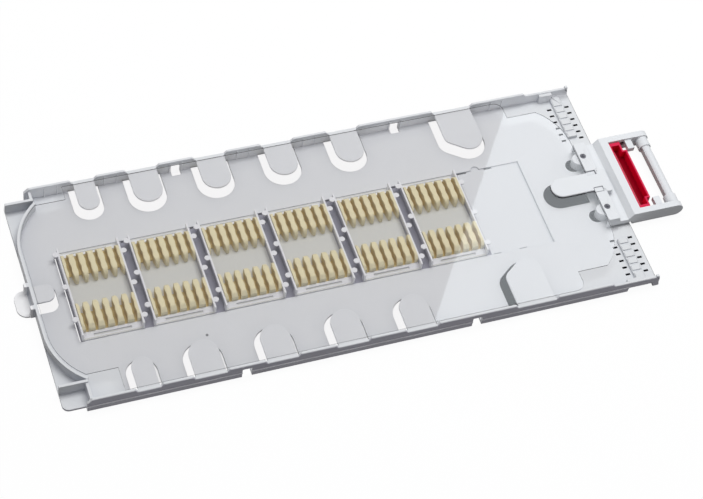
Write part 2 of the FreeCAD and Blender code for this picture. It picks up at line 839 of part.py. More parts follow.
def make_screws():
    """Two small cross-head screws that hold the bracket's strip down on the tray's bosses."""
    screws = []
    top = screw_seat + screw_head_height
    for side in (1, -1):
        y = side * boss_y
        head = disc(screw_x, y, screw_head_radius, screw_seat, top)
        shank = disc(screw_x, y, screw_shank_radius, screw_seat - screw_length + screw_pilot_clearance, top)
        slots = []
        for a, b in ((screw_drive_reach, screw_drive_width / 2), (screw_drive_width / 2, screw_drive_reach)):
            slots.append(box(screw_x - a, screw_x + a, y - b, y + b, top - screw_drive_depth, top + beyond))
        screws.append(fused(head, shank).cut(slots))
    return Part.makeCompound(screws)


def make_latch():
    """Red channel-shaped slide whose ears run in the arms' grooves."""
    half = window_half - latch_gap
    wide_half = latch_wide_half
    x0 = window_start + latch_gap
    floor_top = latch_bottom + latch_floor
    body = box(x0, latch_front, -half, half, latch_bottom, latch_top)
    cuts = [box(x0 + latch_wall, latch_shoulder - latch_wall, -half + latch_end_wall, half - latch_end_wall,
                floor_top, latch_top + beyond)]
    cuts.append(box(x0 + latch_wall, latch_front - latch_wall, -wide_half + latch_wall, wide_half - latch_wall,
                    floor_top, latch_top + beyond))
    ears = []
    for side in (1, -1):
        cuts.append(span_box(latch_shoulder, latch_front + beyond, side * wide_half, side * (half + beyond),
                             latch_bottom - beyond, latch_top + beyond))
        ears.append(span_box(x0, latch_shoulder, side * (half - latch_wall / 2), side * (half + latch_ear),
                             latch_ear_z, latch_ear_z + latch_ear_height))
    return fused(body.cut(cuts), *ears)


def make_cover():
    """Clear sheet that lies on the fingers inside the walls, notched at its corners."""
    half = inner_half - cover_edge_gap
    x0 = wall_thick + cover_end_gap
    radius = end_wall_radius - x0
    turn = math.acos((end_wall_radius - corner_wall_end) / radius)
    relief = cover_relief_radius
    straight = end_wall_half
    x1 = strip_start - cover_plate_gap
    edges = [line((x0, end_wall_mid + straight), (x0, end_wall_mid - straight))]
    edges.append(line((x1, cover_arc_half), (x1, -cover_arc_half)))
    for side in (1, -1):
        y = end_wall_mid + side * straight

        def on_arc(angle):
            return (end_wall_radius - radius * math.cos(angle), y + side * radius * math.sin(angle))

        edges.append(arc(on_arc(0), on_arc(turn / 2), on_arc(turn)))
        notch = (cover_notch_end, on_arc(turn)[1])
        edges.append(line(on_arc(turn), notch))
        edges.append(line(notch, (cover_notch_end, side * half)))
        edges.append(line((cover_notch_end, side * half), (cover_relief_x - relief, side * half)))
        diagonal = relief * math.sqrt(0.5)
        edges.append(arc((cover_relief_x - relief, side * half),
                         (cover_relief_x - relief + diagonal, side * (half - relief + diagonal)),
                         (cover_relief_x, side * (half - relief))))
        edges.append(line((cover_relief_x, side * (half - relief)), (cover_relief_x, side * cover_ear_half)))
        edges.append(line((cover_relief_x, side * cover_ear_half), (cover_ear_end, side * cover_ear_half)))
        chord = V(x1 - cover_ear_end, cover_arc_half - cover_ear_half, 0)
        swell = V(-chord.y, chord.x, 0).normalize() * cover_arc_swell
        middle_x = (x1 + cover_ear_end) / 2 + swell.x
        middle_y = (cover_arc_half + cover_ear_half) / 2 + swell.y
        edges.append(arc((cover_ear_end, side * cover_ear_half), (middle_x, side * middle_y),
                         (x1, side * cover_arc_half)))
    return prism(edges, rim_height, rim_height + cover_thick)


nodes = {
    "tray_base": make_tray_base(),
    "hinge_bracket": make_bracket(),
    "bracket_screws": make_screws(),
    "latch_slide": make_latch(),
    "clear_cover": make_cover(),
}
for place in range(holder_count):
    nodes["splice_holder_%d" % (place + 1)] = make_holder(place)
    nodes["comb_far_%d" % (place + 1)] = make_comb(place, 1)
    nodes["comb_near_%d" % (place + 1)] = make_comb(place, -1)

home = V((grip_reach - rod_centre_x - arm_end_radius) / 2, 0, floor_thick)
os.makedirs("parts", exist_ok=True)
for name, shape in nodes.items():
    shape.translate(home)
    shape.exportStep("parts/%s.step" % name)
    extent = shape.BoundBox
    print(name, len(shape.Solids), shape.isValid(), round(shape.Volume, 1),
          [round(v, 2) for v in (extent.XMin, extent.XMax, extent.YMin, extent.YMax, extent.ZMin, extent.ZMax)])
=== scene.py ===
import json
import math

import bmesh
import bpy
from mathutils import Matrix, Quaternion, Vector

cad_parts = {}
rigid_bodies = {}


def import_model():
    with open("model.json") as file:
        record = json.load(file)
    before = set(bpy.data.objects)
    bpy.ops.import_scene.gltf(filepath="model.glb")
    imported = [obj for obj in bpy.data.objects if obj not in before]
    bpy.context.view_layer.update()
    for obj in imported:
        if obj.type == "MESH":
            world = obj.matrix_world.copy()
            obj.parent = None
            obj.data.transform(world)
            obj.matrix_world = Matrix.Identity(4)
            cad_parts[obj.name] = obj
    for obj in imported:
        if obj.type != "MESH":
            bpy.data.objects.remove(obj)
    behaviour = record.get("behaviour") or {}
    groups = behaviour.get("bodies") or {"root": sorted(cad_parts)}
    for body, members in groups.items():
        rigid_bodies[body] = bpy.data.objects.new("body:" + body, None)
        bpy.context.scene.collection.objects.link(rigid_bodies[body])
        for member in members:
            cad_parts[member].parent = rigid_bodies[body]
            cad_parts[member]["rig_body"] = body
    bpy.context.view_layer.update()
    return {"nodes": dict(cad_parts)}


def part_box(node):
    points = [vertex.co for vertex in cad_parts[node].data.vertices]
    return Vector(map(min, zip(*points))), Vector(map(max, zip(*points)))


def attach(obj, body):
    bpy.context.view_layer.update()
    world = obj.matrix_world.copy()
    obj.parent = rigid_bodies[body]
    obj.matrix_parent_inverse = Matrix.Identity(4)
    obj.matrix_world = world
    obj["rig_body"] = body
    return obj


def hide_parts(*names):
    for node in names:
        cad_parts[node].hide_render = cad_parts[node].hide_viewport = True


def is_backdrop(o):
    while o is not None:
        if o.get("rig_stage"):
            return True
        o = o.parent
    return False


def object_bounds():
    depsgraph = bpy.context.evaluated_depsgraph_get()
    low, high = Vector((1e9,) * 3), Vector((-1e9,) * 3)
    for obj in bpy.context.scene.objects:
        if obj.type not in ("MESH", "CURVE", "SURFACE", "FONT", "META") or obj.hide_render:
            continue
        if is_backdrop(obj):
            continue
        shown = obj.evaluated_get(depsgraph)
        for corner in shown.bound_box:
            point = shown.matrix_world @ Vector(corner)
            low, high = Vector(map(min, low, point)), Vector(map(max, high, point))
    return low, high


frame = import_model()

MM = 0.001

# Camera of the photograph, in the part's own frame
CAMERA_PLACE = Vector((-0.36286, -0.69768, 1.06933))
CAMERA_RIGHT = Vector((0.94214555, -0.31558961, 0.11298216))
CAMERA_FORWARD = Vector((0.27190312, 0.52238984, -0.80819401))
CAMERA_LENS = 109.64
SENSOR_WIDTH = 36.0

# Two lamps that face straight down: one overhead, and one that the clear sheet mirrors to the camera
KEY_PLACE = (0.2, 0.35, 1.5)
KEY_SIZE = (1.2, 0.7)
KEY_RADIANCE = 6.95
SHINE_PLACE = (0.902, 0.835, 1.5)
SHINE_SIZE = (0.5, 0.74)
SHINE_RADIANCE = 1.75
SHINE_COLOUR = (0.93, 1.02, 1.07)
SHINE_TURN = -35.0

# Surroundings: brightest to the camera, less so in mirrors, and least as light on the part
SKY_COLOUR = (0.95, 0.95, 1.0, 1.0)
SKY_MIRRORED = 0.6
SKY_LEAST = 0.3

# Rib combs: half widths and heights along a rib, in metres
RIB_COUNT = 7
RIB_HALF = 2.1 * MM
RIB_TAPER = 0.25 * MM
RIB_WAIST = 0.4 * MM
RIB_WAVE = 7.2 * MM
RIB_TIP_LENGTH = 4.2 * MM
RIB_TIP_HALF = 1.0 * MM
RIB_TIP_BLUNT = 0.35
RIB_SLOPE = 2.2 * MM
RIB_NOSE_LENGTH = 3.2 * MM
RIB_NOSE_DROP = 3.4 * MM
RIB_CORNER = 0.4 * MM
RIB_CORNER_STEPS = 3
RIB_STEPS = 24
STRIP_THICK = 0.8 * MM
STRIP_SHARE = 0.7

# Air under the clear sheet, so that it shares no face with the fingers that it lies on
SHEET_LIFT = 0.03 * MM

# Plates in the two slits beside the neck of the tongue, in mm: X and Y from and to, and Z of their tops
SLIT_PLATES = (((159.5, 165.3), (-8.3, -5.1), 10.5), ((159.5, 165.3), (5.1, 8.3), 9.7))
SLIT_PLATE_THICK = 0.8

# Width of the rounding on moulded edges
EDGE = {"tray": 0.22 * MM, "bracket": 0.3 * MM, "small": 0.18 * MM, "fine": 0.08 * MM}
EDGE_SEGMENTS = 2

# Points nearer than this are merged. Faces that meet at less than the next angles are joined or shaded
# smooth, and an edge of more than the third is rounded
MERGE = 0.001 * MM
FLAT_ANGLE = math.radians(1.0)
SMOOTH_ANGLE = math.radians(30.0)
ROUNDED_ANGLE = math.radians(35.0)
RIB_SMOOTH_ANGLE = math.radians(50.0)

# How far the painted shade in the creases of each finish reaches, and how quickly the tray's corners clear
# of it
CREASE = {"tray": 13.0 * MM, "corner": 4.0 * MM, "bracket": 4.0 * MM, "holder": 3.0 * MM,
          "rubber": 3.5 * MM, "latch": 4.0 * MM}
CORNER_CLEAR = 1.25

# Share of a face's normal that lies along an axis: less of it along Z is upright, more of it is level, and
# more of it along X or Y is square to that axis
UPRIGHT = 0.6
LEVEL = 0.9
SQUARE = 0.7

# Depth of the fine grain in moulded faces, and the mottling over their colours
GRAIN_DEPTH = 0.2 * MM
MOTTLE_SHARE = 0.08
MOTTLE_GREY = 0.6

# Tray: places and colours of its painted shade and of the painted light on its lighter faces
HOLDER_HALF = 19.1 * MM
HOLDER_REACH = 32.0 * MM
ROW_MARGIN = 2.0 * MM
WELL_TOP = 1.6 * MM
HINGE_END = 125.0 * MM
CLOSED_END = -165.0 * MM
GRIP_START = -203.6 * MM
WALL_INSIDE = 70.0 * MM
OUTER_WALL = 73.5 * MM
OUTWARD = 0.03
LEDGE_START = 78.3 * MM
LEDGE_HEIGHTS = (3.6 * MM, 5.8 * MM)
LEDGE_FACING = 0.2
FINGER_ZONE = (44.0 * MM, 74.5 * MM)
# A small round spot darkened with the deep shade colour
DARK_SPOT_PLACE = (-107.7 * MM, -46.1 * MM)
DARK_SPOT_RADIUS = 0.9 * MM
DARK_SPOT_SHARE = 0.8
CHANNEL_SHADE = 0.85
# Painted light and shade: lit and crease-shaded copies of the tray's colour, painted shade on its outer
# walls, in its channels and slots, a painted highlight on its ledges, and painted light on its opening
# edges, far wall and grip
TRAY_SHADED = (0.54, 0.56, 0.60, 1)
TRAY_LIT = (0.745, 0.76, 0.77, 1)
TRAY_OUTSIDE_SHADE = (0.56, 0.55, 0.62, 1)
TRAY_LEDGE_HIGHLIGHT = (0.97, 0.97, 0.98, 1)
TRAY_OPENING_LIGHT = (0.95, 0.95, 0.96, 1)
TRAY_FAR_WALL_LIGHT = (0.92, 0.935, 0.96, 1)
GRIP_PAINTED_LIGHT = 0.93
SLATE_SHADE = (0.185, 0.18, 0.245, 1)
DEEP_SHADE = (0.05, 0.05, 0.055, 1)

# Bracket: colours in light and in painted crease shade, and the painted shade on the flat along its rod
BRACKET_SHADED = (0.50, 0.51, 0.54, 1)
BRACKET_LIT = (0.80, 0.82, 0.835, 1)
ROD_FLAT_SPAN = (203.3 * MM, 205.3 * MM)
ROD_FLAT_FACING = 0.95
ROD_FLAT_SHADE = (0.52, 0.47, 0.47, 1)

# Holders: colours in light and in painted crease shade, the top of their floor, and the painted slate
# shade down the sides beside the channels
HOLDER_SHADED = (0.52, 0.51, 0.56, 1)
HOLDER_LIT = (0.86, 0.865, 0.88, 1)
HOLDER_FLOOR = (0.615, 0.62, 0.575, 1)
HOLDER_FLOOR_TOP = 3.0 * MM
HOLDER_SHADE = 0.9
RAIL_TOP = 7.3 * MM
RAIL_FADE = 3.5 * MM
RAIL_REACH = 29.0 * MM

# Combs: painted shade colour between the ribs and lit colour on them, and how sharply one follows the
# other
RUBBER_SHADED = (0.60, 0.45, 0.11, 1)
RUBBER_LIT = (0.81, 0.735, 0.475, 1)
RUBBER_CONTRAST = 1.7
RUBBER_START = 0.65

# Latch: colours of its painted crease shade, its lit walls, the painted shade on its floor, and the
# painted highlights along a line on the floor and on its rims
LATCH_SHADED = (0.42, 0.0, 0.016, 1)
LATCH_LIT = (0.95, 0.001, 0.042, 1)
LATCH_FLOOR_SHADE = (0.235, 0.0, 0.008, 1)
LATCH_HIGHLIGHT_LINE = (0.60, 0.17, 0.20, 1)
LATCH_RIM_HIGHLIGHT = (0.72, 0.03, 0.09, 1)
RIM_START = 5.5 * MM
HIGHLIGHT_LINE_X = 187.2 * MM
HIGHLIGHT_LINE_HALF = 0.25 * MM

# Screws: the two tones of their dark steel
STEEL_DARK = (0.16, 0.16, 0.18, 1)
STEEL_LIGHT = (0.26, 0.26, 0.29, 1)

# Clear sheet: both faces reflect, and one of them stands for the two; the near cut edge is less dull
FILM_SHINE = 1.9
FILM_TINT = (0.966, 0.963, 0.964, 1)
FILM_EDGE = (0.12, 0.125, 0.14, 1)
FILM_EDGE_DULL = 0.9
FILM_NEAR_CLEARER = 0.5
FILM_NEAR = -73.0 * MM

# Floor: X and Y, from and to, of the painted shadow on the ground below the hinge end, a broad finger and
# the far slits
FLOOR_HALF = 6.0
PAINTED_SHADOW_PATCHES = (((125.0 * MM, 174.5 * MM), (-76.0 * MM, 76.0 * MM)),
               ((72.0 * MM, 112.0 * MM), (-77.0 * MM, -35.0 * MM)),
               ((-185.0 * MM, 125.0 * MM), (30.5 * MM, 33.5 * MM)))
PAINTED_SHADOW_COLOUR = (0.006, 0.006, 0.008, 1)
UNSEEN_GREY = 0.05

# Floor: its glow to the camera, full in a band below the fingers, and less beside each of the near ones as
# painted shade
FLOOR_GLOW = 0.95
FINGER_BAND = ((-200.0 * MM, 120.0 * MM), (40.0 * MM, 76.5 * MM))
FIRST_FINGER = (-151.9 * MM, -141.0 * MM)
NEAR_FINGERS = (-114.6 * MM, 50.0 * MM)
NEAR_FINGER_REACH = (-76.5 * MM, -45.0 * MM)
FINGER_PITCH = 44.0 * MM
FINGER_SPAN = 17.5 * MM
FINGER_PAINTED_SHADE = 0.38


class Socket:
    """A node's output on which Python arithmetic adds Math nodes."""

    def __init__(self, tree, link):
        self.tree = tree
        self.link = link

    def math(self, operation, *values):
        """A Math node's result for the given values or sockets."""
        return self.tree.node("ShaderNodeMath", {"operation": operation}, dict(enumerate(values)))

    def __add__(self, other):
        return self.math("ADD", self, other)

    def __radd__(self, other):
        return self.math("ADD", other, self)

    def __sub__(self, other):
        return self.math("SUBTRACT", self, other)

    def __rsub__(self, other):
        return self.math("SUBTRACT", other, self)

    def __mul__(self, other):
        return self.math("MULTIPLY", self, other)

    def __rmul__(self, other):
        return self.math("MULTIPLY", other, self)

    def __gt__(self, other):
        return self.math("GREATER_THAN", self, other)

    def __lt__(self, other):
        return self.math("LESS_THAN", self, other)

    def within(self, limits):
        """1 between two limits, and 0 elsewhere."""
        return (self > limits[0]) * (self < limits[1])

    def absolute(self):
        return self.math("ABSOLUTE", self)

    def modulo(self, step):
        return self.math("FLOORED_MODULO", self, step)

    def limited(self):
        """The value held between 0 and 1."""
        return self.tree.node("ShaderNodeClamp", {}, {"Value": self})


class Tree:
    """A node tree that is built by method calls."""

    def __init__(self, tree):
        self.tree = tree
        self.tree.nodes.clear()

    def node(self, kind, settings=None, sockets=None, output=0):
        """Adds a node with its settings, then the values or links of its sockets; returns one output."""
        made = self.tree.nodes.new(kind)
        for name, value in (settings or {}).items():
            setattr(made, name, value)
        for name, value in (sockets or {}).items():
            socket = self.find(made.inputs, name)
            if isinstance(value, Socket):
                self.tree.links.new(value.link, socket)
            else:
                socket.default_value = value
        return Socket(self, self.find(made.outputs, output)) if made.outputs else None

    @staticmethod
    def find(sockets, name):
        """The socket with an identifier, or else with a name or number."""
        named = [s for s in sockets if s.identifier == name]
        return named[0] if named else sockets[name]

    def ray(self, kind):
        """1 for one kind of ray, such as Camera or Glossy, and 0 for the others."""
        return self.node("ShaderNodeLightPath", {}, {}, "Is %s Ray" % kind)


class Finish(Tree):
    """A node material."""

    def __init__(self, name):
        self.material = bpy.data.materials.new(name)
        self.material.use_nodes = True
        super().__init__(self.material.node_tree)

    def mix(self, factor, a, b):
        """Colour a where factor is 0 and b where it is 1."""
        sockets = {"Factor_Float": factor, "A_Color": a, "B_Color": b}
        return self.node("ShaderNodeMix", {"data_type": "RGBA"}, sockets, "Result_Color")

    def blend(self, factor, a, b):
        """Shader a where factor is 0 and b where it is 1."""
        return self.node("ShaderNodeMixShader", {}, {"Fac": factor, 1: a, 2: b})

    def axes(self, vector, letters):
        """The components of a vector along the axes with the given letters."""
        return [self.node("ShaderNodeSeparateXYZ", {}, {"Vector": vector}, letter) for letter in letters]

    def place(self, letters):
        """Where a point lies along the given axes."""
        return self.axes(self.node("ShaderNodeTexCoord", {}, {}, "Object"), letters)

    def facing(self, letters):
        """Where the flat face at a point looks, along the given axes."""
        return self.axes(self.node("ShaderNodeNewGeometry", {}, {}, "True Normal"), letters)

    def noise(self, scale, detail):
        """Noise from 0 to 1 over the piece; scale is in waves for each metre."""
        where = self.node("ShaderNodeTexCoord", {}, {}, "Object")
        sockets = {"Vector": where, "Scale": scale, "Detail": detail}
        return self.node("ShaderNodeTexNoise", {}, sockets, "Fac")

    def creases(self, distance):
        """1 on open faces and less in corners and gaps; the finishes paint shade by it."""
        settings = {"samples": 8, "only_local": True}
        return self.node("ShaderNodeAmbientOcclusion", settings, {"Distance": distance}, "AO")

    def grain(self, height, strength):
        """A normal that follows the given height."""
        sockets = {"Height": height, "Strength": strength, "Distance": GRAIN_DEPTH}
        return self.node("ShaderNodeBump", {}, sockets, "Normal")

    def plastic(self, sockets):
        """Ends the material in a Principled shader with the given values and links."""
        return self.surface(self.node("ShaderNodeBsdfPrincipled", {}, sockets))

    def surface(self, shader):
        """Ends the material in the given shader."""
        self.node("ShaderNodeOutputMaterial", {}, {"Surface": shader})
        return self.material


def grey(level):
    """Neutral colour of an even level."""
    return (level, level, level, 1.0)


def nodes_named(start):
    """The CAD nodes whose names start with the given text, in order."""
    return sorted(node for node in frame["nodes"] if node.startswith(start))


def node_middle(node):
    """Middle of a CAD node's box."""
    low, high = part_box(node)
    return (Vector(low) + Vector(high)) / 2


def satin(finish, colour, roughness, grain=0.03):
    """Satin moulded plastic: faint mottling and fine grain over the given colour."""
    mottle = finish.noise(35.0, 4.0)
    fine = finish.noise(900.0, 2.0)
    colour = finish.mix(mottle * MOTTLE_SHARE, colour, grey(MOTTLE_GREY))
    sockets = {"Base Color": colour, "Roughness": mottle * 0.10 + (roughness - 0.05), "IOR": 1.5}
    sockets["Normal"] = finish.grain(fine, grain)
    return finish.plastic(sockets)


def tray_finish():
    """Pale tray: painted shade in its creases, channels and slots and on its outer walls, a small spot
    darkened with the deep shade colour, painted light on the grip, the edges of the openings and the
    inside of the far wall, and a painted highlight on the outer ledges."""
    finish = Finish("tray_plastic")
    x, y, z = finish.place("XYZ")
    ny, nz = finish.facing("YZ")
    upright = nz.absolute() < UPRIGHT
    # Painted shade in creases and corners: the shaded colour where ambient occlusion is low
    colour = finish.mix(finish.creases(CREASE["tray"]), TRAY_SHADED, TRAY_LIT)
    open_corner = (finish.creases(CREASE["corner"]) * CORNER_CLEAR).limited()
    colour = finish.mix(open_corner, TRAY_SHADED, colour)
    # Painted slate shade in the channels between the holders
    holders = nodes_named("splice_holder_")
    first = node_middle(holders[0]).x
    pitch = node_middle(holders[1]).x - first
    row = (first - pitch / 2, node_middle(holders[-1]).x + pitch / 2)
    off_middle = ((x - row[0]).modulo(pitch) - pitch / 2).absolute()
    channel = x.within((row[0] - ROW_MARGIN, row[1])) * (off_middle > HOLDER_HALF)
    channel = channel * (y.absolute() < HOLDER_REACH) * (z < WELL_TOP)
    colour = finish.mix(channel * CHANNEL_SHADE, colour, SLATE_SHADE)
    # Painted deep shade on the walls of the slots at the hinge end
    pierced = (z < WELL_TOP) * upright * (x > HINGE_END)
    colour = finish.mix(pierced, colour, DEEP_SHADE)
    # A small round spot darkened with the deep shade colour
    off_x = x - DARK_SPOT_PLACE[0]
    off_y = y - DARK_SPOT_PLACE[1]
    dark_spot = off_x * off_x + off_y * off_y < DARK_SPOT_RADIUS * DARK_SPOT_RADIUS
    colour = finish.mix(dark_spot * DARK_SPOT_SHARE, colour, DEEP_SHADE)
    # Painted light: the grip is painted whiter than the rest of the moulding
    colour = finish.mix(x < GRIP_START, colour, grey(GRIP_PAINTED_LIGHT))
    # Painted shade on the outward faces of the outer walls
    outside = (y.absolute() > OUTER_WALL) * (y * ny > OUTWARD) * upright
    colour = finish.mix(outside, colour, TRAY_OUTSIDE_SHADE)
    # Painted highlight along the tops of the outer ledges
    ledge = (y.absolute() > LEDGE_START) * (nz > LEDGE_FACING) * z.within(LEDGE_HEIGHTS)
    colour = finish.mix(ledge, colour, TRAY_LEDGE_HIGHLIGHT)
    # Painted light on the upright edges of the finger openings, which lie in shade
    opening_edge = upright * y.absolute().within(FINGER_ZONE) * x.within((CLOSED_END, HINGE_END))
    colour = finish.mix(opening_edge, colour, TRAY_OPENING_LIGHT)
    # Painted light on the inside of the far wall
    far_wall = (y > WALL_INSIDE) * (ny < -SQUARE) * (z > WELL_TOP)
    colour = finish.mix(far_wall, colour, TRAY_FAR_WALL_LIGHT)
    return satin(finish, colour, 0.42, 0.0)


def bracket_finish():
    """White bracket: painted shade in its creases and on the flat along the rod."""
    finish = Finish("bracket_plastic")
    [x] = finish.place("X")
    [nx] = finish.facing("X")
    # Painted shade in creases, and painted shade on the rod's flat that faces the latch
    colour = finish.mix(finish.creases(CREASE["bracket"]), BRACKET_SHADED, BRACKET_LIT)
    colour = finish.mix((nx < -ROD_FLAT_FACING) * x.within(ROD_FLAT_SPAN), colour, ROD_FLAT_SHADE)
    return satin(finish, colour, 0.36)


def holder_finish():
    """Milky holder: bright tops and painted shade in its creases, a greyer floor, and painted slate shade
    down the sides that face the channels.
    """
    finish = Finish("holder_plastic")
    y, z = finish.place("YZ")
    nx, nz = finish.facing("XZ")
    # Painted shade in creases
    colour = finish.mix(finish.creases(CREASE["holder"]), HOLDER_SHADED, HOLDER_LIT)
    floor = (z < HOLDER_FLOOR_TOP) * (nz > LEVEL)
    colour = finish.mix(floor * HOLDER_SHADE, colour, HOLDER_FLOOR)
    # Painted slate shade down the rail sides, growing from their tops downwards
    depth = ((RAIL_TOP - z) * (1 / RAIL_FADE)).limited() * (y.absolute() < RAIL_REACH)
    colour = finish.mix((nx.absolute() > SQUARE) * depth * HOLDER_SHADE, colour, SLATE_SHADE)
    return satin(finish, colour, 0.30)


def rubber_finish():
    """Cream rubber: painted golden shade between the ribs, with a soft, uneven skin."""
    finish = Finish("cream_rubber")
    mottle = finish.noise(220.0, 4.0)
    fine = finish.noise(1800.0, 2.0)
    # Painted shade between the ribs, where ambient occlusion is low
    open_share = finish.creases(CREASE["rubber"]) * RUBBER_CONTRAST - RUBBER_START + mottle * 0.1
    colour = finish.mix(open_share.limited(), RUBBER_SHADED, RUBBER_LIT)
    sockets = {"Base Color": colour, "Roughness": mottle * 0.12 + 0.5, "IOR": 1.45}
    sockets["Normal"] = finish.grain(fine, 0.2)
    return finish.plastic(sockets)


def latch_finish():
    """Red latch: bright walls and painted crease shade, a floor in painted shade with a painted highlight
    line, and painted highlights on its rims.
    """
    finish = Finish("red_plastic")
    x, z = finish.place("XZ")
    [nz] = finish.facing("Z")
    mottle = finish.noise(160.0, 3.0)
    # Painted shade in creases, and the lit colour on open walls
    colour = finish.mix(finish.creases(CREASE["latch"]), LATCH_SHADED, LATCH_LIT)
    level = nz > LEVEL
    # Painted shade on the low floor
    deep = level * (z < RIM_START)
    colour = finish.mix(deep, colour, LATCH_FLOOR_SHADE)
    # Painted highlight: a thin pale line along the floor
    colour = finish.mix(deep * ((x - HIGHLIGHT_LINE_X).absolute() < HIGHLIGHT_LINE_HALF), colour, LATCH_HIGHLIGHT_LINE)
    # Painted highlight on the level tops of the rims
    colour = finish.mix(level * (z > RIM_START), colour, LATCH_RIM_HIGHLIGHT)
    sockets = {"Base Color": colour, "Roughness": mottle * 0.1 + 0.3, "Specular IOR Level": 0.06}
    return finish.plastic(sockets)


def steel_finish():
    """Dark, blotched steel."""
    finish = Finish("dark_steel")
    fine = finish.noise(2500.0, 2.0)
    colour = finish.mix(fine, STEEL_DARK, STEEL_LIGHT)
    return finish.plastic({"Base Color": colour, "Roughness": fine * 0.2 + 0.4, "Metallic": 0.6})


def film_finish():
    """Clear sheet: see-through, with a sharp reflection on its outer faces and grey cut edges."""
    finish = Finish("clear_film")
    [y] = finish.place("Y")
    [nz] = finish.facing("Z")
    cut_edge = (nz.absolute() < UPRIGHT) * (FILM_EDGE_DULL - (y < FILM_NEAR) * FILM_NEAR_CLEARER)
    gloss = finish.node("ShaderNodeFresnel", {}, {"IOR": 1.5})
    inside = finish.node("ShaderNodeNewGeometry", {}, {}, "Backfacing")
    share = gloss * FILM_SHINE * (1.0 - inside)
    clear = finish.node("ShaderNodeBsdfTransparent", {}, {"Color": FILM_TINT})
    mirror = finish.node("ShaderNodeBsdfGlossy", {}, {"Color": grey(1.0), "Roughness": 0.02})
    dull = finish.node("ShaderNodeBsdfDiffuse", {}, {"Color": FILM_EDGE})
    sheet = finish.blend(share.limited(), clear, mirror)
    return finish.surface(finish.blend(cut_edge, sheet, dull))


def stage_floor_finish():
    """Pale floor that shows white to the camera and keeps a soft shadow, with painted shadow below some of
    the tray's openings and painted shade beside the near fingers."""
    finish = Finish("pale_floor")
    x, y = finish.place("XY")
    seen = (finish.ray("Camera") + finish.ray("Glossy") + finish.ray("Transmission")).limited()
    # Painted shadow on the ground below some of the tray's openings
    painted_shadow = sum(x.within(across) * y.within(along) for across, along in PAINTED_SHADOW_PATCHES).limited()
    # Painted shade beside the near fingers: less glow, so that the lit floor shows greyer there
    fingers = ((x - NEAR_FINGERS[0]).modulo(FINGER_PITCH) < FINGER_SPAN) * x.within(NEAR_FINGERS)
    beside = (fingers + x.within(FIRST_FINGER)) * y.within(NEAR_FINGER_REACH)
    band = x.within(FINGER_BAND[0]) * y.absolute().within(FINGER_BAND[1])
    glow = band * (1.0 - FLOOR_GLOW) + FLOOR_GLOW - beside * FINGER_PAINTED_SHADE
    plain = finish.mix(seen, grey(UNSEEN_GREY), grey(1.0))
    lit = finish.node("ShaderNodeBsdfDiffuse", {}, {"Color": finish.mix(painted_shadow, plain, PAINTED_SHADOW_COLOUR)})
    white = finish.node("ShaderNodeEmission", {}, {"Color": grey(1.0), "Strength": 1.0})
    return finish.surface(finish.blend(seen * (1.0 - painted_shadow) * glow, lit, white))


def add_object(name, data):
    """A new object in the scene."""
    made = bpy.data.objects.new(name, data)
    bpy.context.scene.collection.objects.link(made)
    return made


def plain_mesh(piece):
    """The mesh that a piece's modifiers make."""
    graph = bpy.context.evaluated_depsgraph_get()
    return bpy.data.meshes.new_from_object(piece.evaluated_get(graph), depsgraph=graph)


def add_block(work, low, high):
    """Adds a block between two corners to a mesh in the making."""
    size = Matrix.Diagonal((*(high - low), 1.0))
    bmesh.ops.create_cube(work, size=1.0, matrix=Matrix.Translation((low + high) / 2) @ size)


def rounded_copy(node, width):
    """A copy of a CAD node's mesh with its flat faces joined and its edges rounded."""
    mesh = bpy.data.meshes.new(node + "_moulded")
    work = bmesh.new()
    work.from_mesh(frame["nodes"][node].data)
    bmesh.ops.remove_doubles(work, verts=work.verts, dist=MERGE)
    bmesh.ops.dissolve_limit(work, angle_limit=FLAT_ANGLE, verts=work.verts, edges=work.edges,
                             use_dissolve_boundaries=False)
    work.to_mesh(mesh)
    work.free()
    mesh.shade_smooth()
    mesh.set_sharp_from_angle(angle=SMOOTH_ANGLE)
    piece = add_object(node + "_moulded", mesh)
    bevel = piece.modifiers.new("rounding", "BEVEL")
    bevel.width = width
    bevel.segments = EDGE_SEGMENTS
    bevel.limit_method = "ANGLE"
    bevel.angle_limit = ROUNDED_ANGLE
    bevel.use_clamp_overlap = False
    bevel.harden_normals = True
    return piece


def hold_in_box(piece, node):
    """Makes a rounded piece's mesh plain, and holds its points inside its CAD node's box."""
    low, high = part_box(node)
    mesh = plain_mesh(piece)
    for point in mesh.vertices:
        point.co = [min(max(place, least), most) for place, least, most in zip(point.co, low, high)]
    piece.modifiers.clear()
    piece.data = mesh


def add_slit_plates(mesh):
    """Low plates in the slits beside the tongue's neck, joined to the bracket's mesh."""
    work = bmesh.new()
    work.from_mesh(mesh)
    for (x0, x1), (y0, y1), top in SLIT_PLATES:
        low = Vector((x0, y0, top - SLIT_PLATE_THICK))
        high = Vector((x1, y1, top))
        add_block(work, low * MM, high * MM)
    work.to_mesh(mesh)
    work.free()


def dress(piece, node, finish):
    """Gives a piece its finish and lets it stand for its CAD node."""
    piece.data.materials.clear()
    piece.data.materials.append(finish)
    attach(piece, frame["nodes"][node]["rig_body"])
    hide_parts(node)


def rib_stations(length):
    """Distances along a rib from its blunt outer end, closer together at both ends."""
    return [length * (1 - math.cos(math.pi * step / RIB_STEPS)) / 2 for step in range(RIB_STEPS + 1)]


